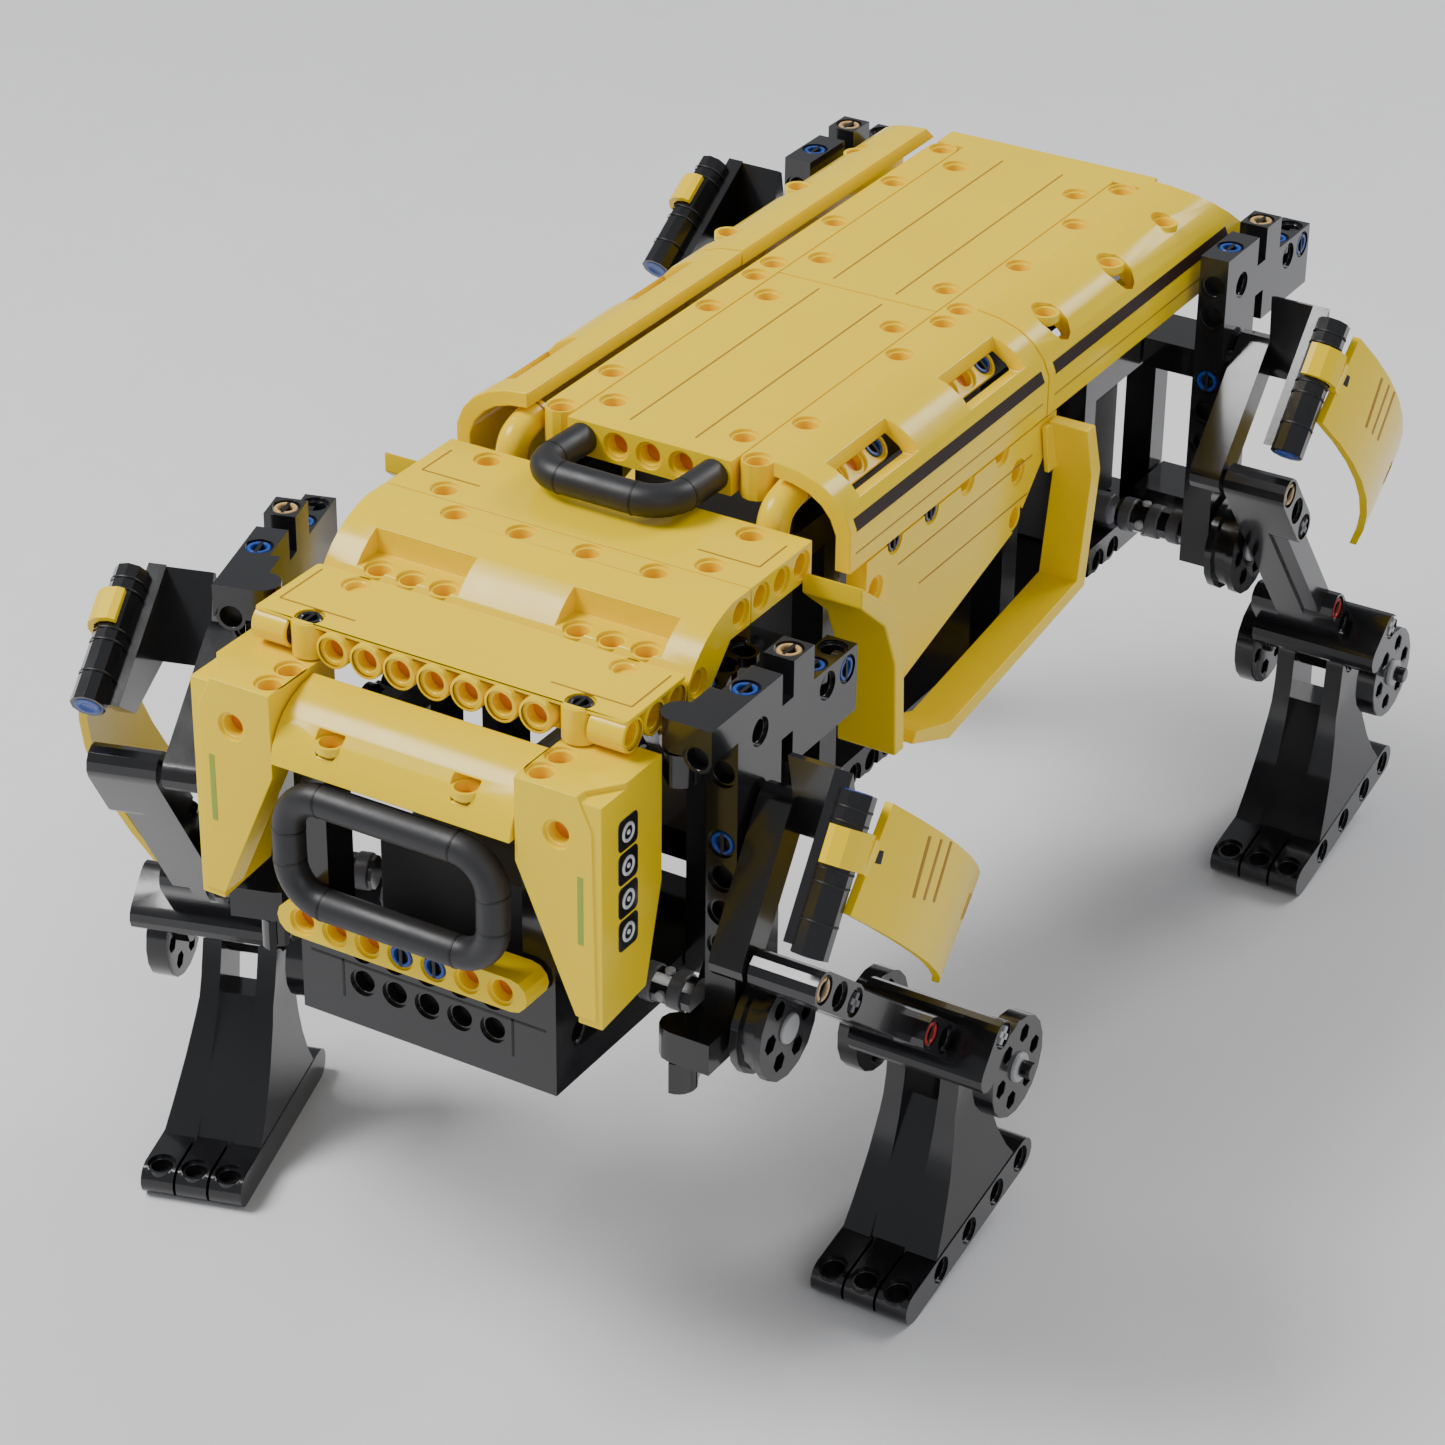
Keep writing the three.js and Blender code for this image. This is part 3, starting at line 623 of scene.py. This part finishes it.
def frames_of(tag):
    """The frames in which the pieces of one leg are drawn."""
    side = TAGS[tag]
    hip, axis = joint_place("rocker_" + tag)
    mid = joint_place("thigh_" + tag)[0]
    knee = joint_place("knee_" + tag)[0]
    crank_centre = joint_place("crank_" + tag)[0]
    back = Z.cross(axis)
    foot = Matrix.Rotation(math.radians(FOOT_ANGLE[tag]), 3, axis) @ back
    zero = hip - (ROCKER_BACK * back - ROCKER_DOWN * Z) * M
    return {"rocker": leg_frame(hip, axis, across_axis(mid - hip, axis), side, ROCKER_OUT),
            "thigh": leg_frame(mid, axis, across_axis(knee - mid, axis), side, KNEE_OUT),
            "foot": leg_frame(knee, axis, foot, side, KNEE_OUT),
            "crank": leg_frame(crank_centre, axis, back, side, CRANK_OUT),
            "hip": leg_frame(zero, axis, back, side, ROCKER_OUT)}


# ---- the pieces -----------------------------------------------------------------
YELLOW_SLOT = "yellow_plastic"
BLACK_SLOT = "black_plastic"
HOSE_SLOT = "black_hose"
GREY_SLOT = "grey_plastic"
SIDES = ((1, "right", "x"), (-1, "left", "-x"))   # sign of X, name, outward direction


def yellow(node, holes=(), pins=(), width=0.06, body="body", matrix=BODY_FRAME):
    return moulded(node, body, YELLOW_SLOT, YELLOW, YELLOW_HOLE_SHADE, holes, pins, matrix, width)


def black(node, body="body", matrix=BODY_FRAME, holes=(), pins=(), width=0.05):
    return moulded(node, body, BLACK_SLOT, BLACK, BLACK_RECESS_SHADE, holes, pins, matrix, width)


def collar(piece, point, normal, length, material, core, radius=0.48):
    """Round boss with a pin hole in its end, as long as the beam behind it."""
    place = facing(point, normal)
    shape = [(HOLE + 0.01, 0), (radius - 0.05, 0), (radius - 0.01, -0.02), (radius, -0.07),
             (radius, -length + 0.03), (radius - 0.03, -length), (HOLE + 0.01, -length)]
    piece.add(lathe(shape), material, place)
    socket(piece, point, normal, material, core)


HEAD_HALF = 5.5          # half the width of the head
FULL = 0.5               # depth of the middle of a beam below its top


def head_plate():
    """Top plate: a flat cover over a front row of bosses, two upright bosses and rows of end bosses."""
    plate = Piece("head_top_plate_shape", "body", "head_top_plate", YELLOW_SLOT)
    cover = rectangle(-HEAD_HALF, HEAD_HALF, -0.3, 2.45, 0.12)
    cover_holes = [(x, y, HOLE) for x in (-4, 4) for y in (0, 2)]
    block = rectangle(-4.4, 4.4, 0.5, 2.4, 0.1)
    beam = rectangle(-3.45, 3.45, -0.08, 0.6, 0.05)
    plate.add(slab(cover, -0.12, 0, cover_holes, 0.04), YELLOW)
    plate.add(slab(block, -1, -0.25, bevel=0.04), YELLOW)
    plate.add(slab(beam, -0.92, -0.1, bevel=0.03), YELLOW)
    for x in range(-3, 4):
        collar(plate, (x, -0.5, -FULL), -Y, 1, YELLOW, YELLOW_HOLE_SHADE)
    for side in (-1, 1):
        for y in (0, 1, 2):
            collar(plate, (side * HEAD_HALF, y, -FULL), X * side, 1.05, YELLOW, YELLOW_HOLE_SHADE)
        boss = circle(side * 4, 0, 0.48, 28)
        plate.add(slab(boss, -1, -0.01, [(side * 4, 0, HOLE)], 0.03), YELLOW)
        for y in (0, 2):
            socket(plate, (side * 4, y, 0), Z, YELLOW, YELLOW_HOLE_SHADE)
        pin(plate, (side * 4, 0, 0), Z, BLACK)
        # Engraved lines, drawn as dark strips of painted shade.
        line(plate, (side * 5.2, 2.2, 0), (side * 5.2, 0.4, 0), Z)
        line(plate, (side * 5.2, 0.4, 0), (side * 2.9, 0.4, 0), Z)
    plate.done()


def head():
    head_plate()
    window = spots("z", (-4, -3, -2, 2, 3, 4), (3,), (0,))
    crest = spots("z", (-3, -1, 1, 3), (5,), (1,))
    flank = []
    ends = []
    for side, _, axis in SIDES:
        flank += [((side * HEAD_HALF, 5, 0.5), axis), ((side * HEAD_HALF, 3, -0.5), axis)]
        ends += spots(axis, (side * HEAD_HALF,), (6, 7, 8), (0.5,))
    yellow("neck_curved_panel", window + crest + flank).done()
    top = spots("z", (-4, 4), (6, 8), (1,))
    plate = yellow("neck_plate", top + ends)
    # Engraved lines, drawn as dark strips of painted shade.
    for x in (-1, 1):
        scribe(plate, [(x * 5.1, 7.9, 1), (x * 5.1, 6.55, 1), (x * 3.3, 6.55, 1)], "z")
    plate.done()


# Mouth ring, measured on the middle line of the hose.
RING_HALF = 3.05
RING_TOP = -3.45
RING_FOOT = -6.48
RING_Y = -2.505
RING_CORNER = 1.05
RING_RADIUS = 0.43
ELBOW_STEPS = 8


def hose_seam(radius):
    """Fine ring where two lengths of hose meet; the callers colour it darker as painted shade in the seam.
    """
    sunk = radius - 0.03
    proud = radius + 0.012
    return lathe([(sunk, -0.05), (proud, -0.03), (proud, 0.03), (sunk, 0.05)])


def face_hose():
    """Closed hose round the mouth: four elbows and four straights, with a seam at every joint."""
    corners = rectangle(-RING_HALF, RING_HALF, RING_FOOT, RING_TOP, RING_CORNER, ELBOW_STEPS)
    route = [Vector((x, RING_Y, z)) for x, z in corners]
    piece = Piece("face_ring_shape", "body", "face_ring", HOSE_SLOT)
    piece.add(tube(route, RING_RADIUS, closed=True), HOSE)
    for first in range(0, len(route), ELBOW_STEPS + 1):
        last = first + ELBOW_STEPS
        for near, far in ((first, first + 1), (last, last - 1)):
            # Seam rings in the extra-dark black, as painted shade in the seams.
            piece.add(hose_seam(RING_RADIUS), BLACK_RECESS_SHADE, facing(route[near], route[far] - route[near]))
    piece.done()


HANDLE_HALF = 2.0
HANDLE_FRONT = 7.1
HANDLE_BACK = 9.45
HANDLE_CORNER = 0.9
HANDLE_RADIUS = 0.44
HANDLE_TOP = 1.61
HANDLE_SLOPE = 0.04


def handle_hose():
    """Carry handle: one bent hose that rises slightly towards the head."""
    inset = HANDLE_HALF - HANDLE_CORNER
    bend_y = HANDLE_FRONT + HANDLE_CORNER
    left = arc(-inset, bend_y, HANDLE_CORNER, 180, 90, ELBOW_STEPS)
    right = arc(inset, bend_y, HANDLE_CORNER, -90, 90, ELBOW_STEPS)
    bends = [(-HANDLE_HALF, HANDLE_BACK)] + left + right + [(HANDLE_HALF, HANDLE_BACK)]
    route = [Vector((x, y, HANDLE_TOP - HANDLE_SLOPE * (y - HANDLE_FRONT))) for x, y in bends]
    piece = Piece("carry_handle_shape", "body", "carry_handle", HOSE_SLOT)
    piece.add(tube(route, HANDLE_RADIUS), HOSE)
    for first in (1, 2 + ELBOW_STEPS):
        last = first + ELBOW_STEPS
        for near, far in ((first, first + 1), (last, last - 1)):
            # Seam rings in the extra-dark black, as painted shade in the seams.
            piece.add(hose_seam(HANDLE_RADIUS), BLACK_RECESS_SHADE, facing(route[near], route[far] - route[near]))
    piece.done()


def shoulder_hose(side, name):
    """Short bent hose from the head's shoulder up to the front of the back panel."""
    bends = ((10.38, 1.35), (9.9, 1.32), (9.3, 1.1), (9.07, 0.6), (9.07, 0.02))
    route = smooth_route([(side * 4, y, z) for y, z in bends], 6)
    piece = Piece(name + "_shape", "body", name, YELLOW_SLOT)
    piece.add(tube(route, HANDLE_RADIUS), YELLOW)
    for place in (3, len(route) - 4):
        along = route[place + 1] - route[place]
        # Seam rings in the dark orange, as painted shade in the seams.
        piece.add(hose_seam(HANDLE_RADIUS), GROOVE_SHADE, facing(route[place], along))
    piece.done()


LAMP_HEIGHTS = (-2.43, -3.37, -4.32, -5.26)
LAMP_Y = -1.13


def lamp(cheek, point, normal):
    """A lamp: a pale ring with a pale dot in it, on a dark rounded patch."""
    place = facing(point, normal)
    patch = rectangle(-0.44, 0.44, -0.44, 0.44, 0.16)
    cheek.add(slab(patch, -0.03, 0.012, bevel=0.008), BLACK, place)
    cheek.add(lathe([(0.27, 0.0), (0.27, 0.03), (0.24, 0.045), (0.2, 0.045), (0.18, 0.02)]), LAMP, place)
    cheek.add(lathe([(0.18, 0.02), (0.07, 0.02)]), BLACK, place)
    cheek.add(lathe([(0.07, 0.02), (0.06, 0.04), (0, 0.045)]), LAMP, place)


def cheek_cover(side, name, axis):
    holes = spots("z", (side * 4,), (-0.9, -1.75), (-1,)) + [((side * 4.81, -2.4, -2.28), "-y")]
    cheek = yellow("cheek_" + name, holes)
    for z in LAMP_HEIGHTS:
        for point, _, slope in mouths_on(cheek.tree, [((side * 6, LAMP_Y, z), axis)], 0.1):
            lamp(cheek, point, slope)
    strip = [(side * 5.47, -2.2, z) for z in (-3.26, -5.18)]
    scribe(cheek, strip, "-y", 0.16, GREEN)
    cheek.done()


def face():
    yellow("face_panel", spots("z", (-2, 2), (-2.0,), (-2,))).done()
    for side, name, axis in SIDES:
        cheek_cover(side, name, axis)
    chin = spots("-y", range(-3, 4), (-2.2,), (-7.5,))
    yellow("chin_beam", chin, [((x, -2.2, -7.5), "-y", BLUE, "round") for x in (0, 1)]).done()
    face_hose()
    handle_hose()
    for side, name, _ in SIDES:
        shoulder_hose(side, "shoulder_hose_" + name)


STRIP_HOLES = (10, 12.5, 17.5, 20, 21, 24.5, 28, 31)


def back():
    front_holes = spots("z", (-2, 2), (11, 19), (2,)) + spots("-y", (-1, 0, 1), (9.5,), (1.5,))
    front = yellow("back_panel_front", front_holes)
    rear = yellow("back_panel_rear", spots("z", (-2, 2), (22, 30), (2,)))
    # Engraved lines, drawn as dark strips of painted shade.
    for panel, near, far in ((front, 10.2, 20.1), (rear, 20.9, 31.1)):
        for x in (-1, 1):
            scribe(panel, [(x, near, 2), (x, far, 2)], "z")
        panel.done()
    for side, name, _ in SIDES:
        yellow("back_strip_" + name, spots("z", (side * 3,), STRIP_HOLES, (2,))).done()
    yellow("tail_panel", spots("z", (-3, 0, 3), (33,), (0,))).done()


def window_beam(shell, side, centre):
    """Beam with three pin holes seen through a window of the shell."""
    outward = (side, 0, 1)
    place = facing((side * 4.75, centre, 1.62), outward)
    for across in (-1, 0, 1):
        socket(shell, place @ Vector((across, 0, 0)), outward, YELLOW, YELLOW_HOLE_SHADE, depth=0.3)
    holes = [(across, 0, HOLE) for across in (-1, 0, 1)]
    shell.add(slab(stadium(-1, 1), -0.4, 0, holes), YELLOW, place)
    pin(shell, place @ Vector((side, 0, 0)), outward, BLUE)


FLANK = 6                # the outer face of the flank
STRIPE_Z, STRIPE_WIDE = 1.0, 0.34
GROOVE_Z = 0.2
WINDOWS = (12, 18)
PANEL_HOLES = ((11, -1.4), (11, -3), (19, -1.4), (19, -2.8))
PANEL_LINES = ((11.6, 20.2, 0.25), (12.2, 19.8, -1.2), (13.4, 19.6, -2.3))


def shell_half(side, name, axis, near, far, windows):
    """Half of a side shell, with its dark stripe, a groove below that drawn as a dark line of painted
    shade, and its windows.
    """
    shell = yellow(name, spots("z", (side * 5.1,), (22, 26, 29.5), (2,)))
    scribe(shell, [(side * FLANK, y, STRIPE_Z) for y in (near, far)], axis, STRIPE_WIDE, STRIPE)
    scribe(shell, [(side * FLANK, y, GROOVE_Z) for y in (near, far)], axis, 0.04)
    for centre in windows:
        window_beam(shell, side, centre)
    shell.done()


def side_panel(side, name, axis):
    holes = spots(axis, (side * FLANK,), (12, 14, 16, 18), (-0.4,))
    holes += [((side * FLANK, y, z), axis) for y, z in PANEL_HOLES]
    pins = [((side * FLANK, y, -0.4), axis, BLACK, "round") for y in (12, 14)]
    panel = yellow(name, holes, pins)
    # Engraved lines, drawn as dark strips of painted shade.
    for near, far, z in PANEL_LINES:
        scribe(panel, [(side * FLANK, y, z) for y in (near, far)], axis, 0.045)
    panel.done()


def flanks():
    for side, name, axis in SIDES:
        shell_half(side, "side_shell_front_" + name, axis, 9.8, 20.2, WINDOWS)
        shell_half(side, "side_shell_rear_" + name, axis, 20.9, 32, ())
        side_panel(side, "side_panel_" + name, axis)
        for node in ("belly_arch_", "hip_fender_"):
            yellow(node + name).done()


FRONT_BLOCK_Y = -1.5     # just ahead of the block under the chin


def chassis():
    holes = spots("-y", (-2, -1, 0, 1, 2), (FRONT_BLOCK_Y,), (-8.6, -9.6))
    for side, _, axis in SIDES:
        holes += spots(axis, (side * 4,), range(9, 31), (-9.2,))
        holes += spots(axis, (side * 4,), range(0, 8), (-9.6, -3.2))
    pins = [((x, FRONT_BLOCK_Y, -8.6), "-y", BLUE, "round") for x in (-2, 2)]
    piece = black("chassis_frame", holes=holes, pins=pins)
    # Grooves on the front block, drawn as extra-dark lines of painted shade.
    for x in (-2.6, 2.6):
        scribe(piece, [(x, FRONT_BLOCK_Y, z) for z in (-7.9, -10.2)], "-y", 0.07, BLACK_RECESS_SHADE)
    scribe(piece, [(x, FRONT_BLOCK_Y, -9.1) for x in (-3.6, 3.6)], "-y", 0.07, BLACK_RECESS_SHADE)
    piece.done()


def inside():
    chassis()
    ears = spots("z", (5, 6.2), range(1, 7), (-1,)) + spots("z", (-5, -6.2), range(1, 7), (-1,))
    pins = [((x, y, 0), "z", BLUE, "round") for x in (5, -5) for y in (2, 4)]
    black("front_hip_beams", holes=ears, pins=pins).done()
    for node in ("front_gearbox", "rear_gearbox", "drive_shaft", "battery_box"):
        body = "drive_shaft" if node == "drive_shaft" else "body"
        moulded(node, body, GREY_SLOT, GREY, BLACK_RECESS_SHADE).done()


def legs():
    for tag in TAGS:
        frames = frames_of(tag)
        hip = "body" if tag.startswith("rear") else "hip_" + tag
        hip_bracket(tag, hip, frames["hip"])
        crank(tag, frames["crank"])
        rocker(tag, "rocker_" + tag, frames["rocker"])
        guard(tag, "rocker_" + tag, frames["rocker"])
        thigh(tag, frames["thigh"])
        lower_leg(tag, frames["foot"])


COLUMN_X = 6.94          # middle of the hip column
COLUMN_FACE = 7.4
COLUMN_Y = 2.8


def hip_bracket(tag, body, matrix):
    tops = spots("z", (COLUMN_X,), (COLUMN_Y, 4.9, 6.1, 7.1), (0,))
    sides = spots("x", (COLUMN_FACE,), (6.1, 7.1), (-1.5,))
    sides += spots("x", (COLUMN_FACE,), (COLUMN_Y,), (-1.2, -4.4, -5.6, -6.8))
    fronts = spots("-y", (COLUMN_X,), (1.75,), (-1, -2, -4, -5, -6, -7))
    pins = [((COLUMN_X, 4.9, 0), "z", TAN, "round"),
            ((COLUMN_X, 6.1, 0), "z", BLUE, "round"),
            ((COLUMN_X, COLUMN_Y, 0), "z", BLUE, "round"),
            ((COLUMN_FACE, COLUMN_Y, -4.4), "x", BLUE, "round"),
            ((COLUMN_X, 1.75, -4), "-y", BLUE, "round"),
            ((COLUMN_FACE, 7.1, -1.5), "x", BLUE, "round")]
    black("hip_bracket_" + tag, body, matrix, tops + sides + fronts, pins).done()


def crank(tag, matrix):
    """Crank disc with the grey yokes of its universal joint, the joint's cross and the pale hub."""
    piece = black("crank_disc_" + tag, "crank_" + tag, matrix)
    for x in (4.15, 5.05, 5.75):
        piece.add(rod(0.52, 0, 0.42), GREY, facing((x, 0, 0), X))
    for direction in (Y, Z):
        piece.add(rod(0.14, -0.55, 0.55, 0.02), PALE, facing((4.9, 0, 0), direction))
    piece.add(rod(0.42, 8.3, 8.5), PALE, facing((0, 0, 0), X))
    piece.done()


# The rod on the outer end of the rocker, along y.
ROD_X = 10.5
ROD_Z = -1.45
ROD_ENDS = ((-0.85, -1), (3.25, 1))     # place, outward direction
ROD_SEAMS = (-0.45, -0.1, 1.1, 1.45, 2.4)


def rocker(tag, body, matrix):
    holes = spots("x", (10.2,), (0.55, 1.6), (-0.45,)) + spots("-x", (7.5,), (1, 2, 3), (0,))
    pins = [((10.2, 0.55, -0.45), "x", BLUE, "round")]
    piece = black("rocker_" + tag, body, matrix, holes, pins)
    # Seam rings in the extra-dark black, as painted shade in the seams.
    for y in ROD_SEAMS:
        seam = lathe([(0.49, -0.03), (0.5, 0), (0.49, 0.03)])
        piece.add(seam, BLACK_RECESS_SHADE, facing((ROD_X, y, ROD_Z), Y))
    for y, outward in ROD_ENDS:
        cap = lathe([(0.36, -0.05), (0.36, 0.012), (0.3, 0.02), (0.22, 0.02), (0.2, 0.0), (0, 0.0)])
        piece.add(cap, BLUE, facing((ROD_X, y, ROD_Z), Y * outward))
    piece.done()


GUARD_X = 12             # outside the guard
GUARD_GROOVES = (1.0, 1.55, 2.1)
GUARD_SLITS = (5.3, 5.6, 5.9)


def guard(tag, body, matrix):
    """Leg guard with three grooves near its clip and three fine slits at its tip, drawn as dark lines of
    painted shade, and a square hole drawn as a dark square of painted shade.
    """
    piece = yellow("leg_guard_" + tag, body=body, matrix=matrix)
    for point, _, slope in mouths_on(piece.tree, [((GUARD_X, 0.5, -0.72), "x")], 0.1):
        square = slab(rectangle(-0.17, 0.17, -0.17, 0.17, 0.04), -0.05, 0.01, bevel=0.005)
        piece.add(square, BLACK_RECESS_SHADE, facing(point, slope))
    for z in GUARD_GROOVES:
        scribe(piece, [(GUARD_X, y, z) for y in (-0.3, 1.25)], "x", 0.13)
    for z in GUARD_SLITS:
        scribe(piece, [(GUARD_X, y, z) for y in (0.9, 1.6)], "x", 0.06)
    piece.done()


def thigh(tag, matrix):
    holes = spots("x", (10.5,), (0, 1, 2, 7.4, 8.4), (0,))
    holes += spots("x", (11.7,), (9.15,), (-0.6, 0.6))
    holes += spots("z", (8.9,), (3, 4, 5, 6), (0.4,))
    pins = [((10.5, 0, 0), "x", TAN, "round"),
            ((10.5, 7.4, 0), "x", RED, "round"),
            ((10.5, 2, 0), "x", GREY, "cross"),
            ((11.7, 9.15, 0.6), "x", PALE, "cross")]
    black("thigh_" + tag, "thigh_" + tag, matrix, holes, pins).done()


def lower_leg(tag, matrix):
    body = "lower_leg_" + tag
    toes = spots("z", (8.16, 9.15, 10.14), (-4.7,), (-4.7,))
    flank = spots("x", (10.62,), (-3.2, -1.6, 0, 1.4), (-5.22,))
    flank += spots("x", (10.2,), (0,), (0,))
    black("lower_leg_" + tag, body, matrix, toes + flank).done()
    axle = black("knee_axle_" + tag, body, matrix)
    axle.add(rod(0.42, 11.45, 11.68), PALE, facing((0, 0, 0), X))
    axle.done()


head()
face()
back()
flanks()
inside()
legs()
studio()
camera()
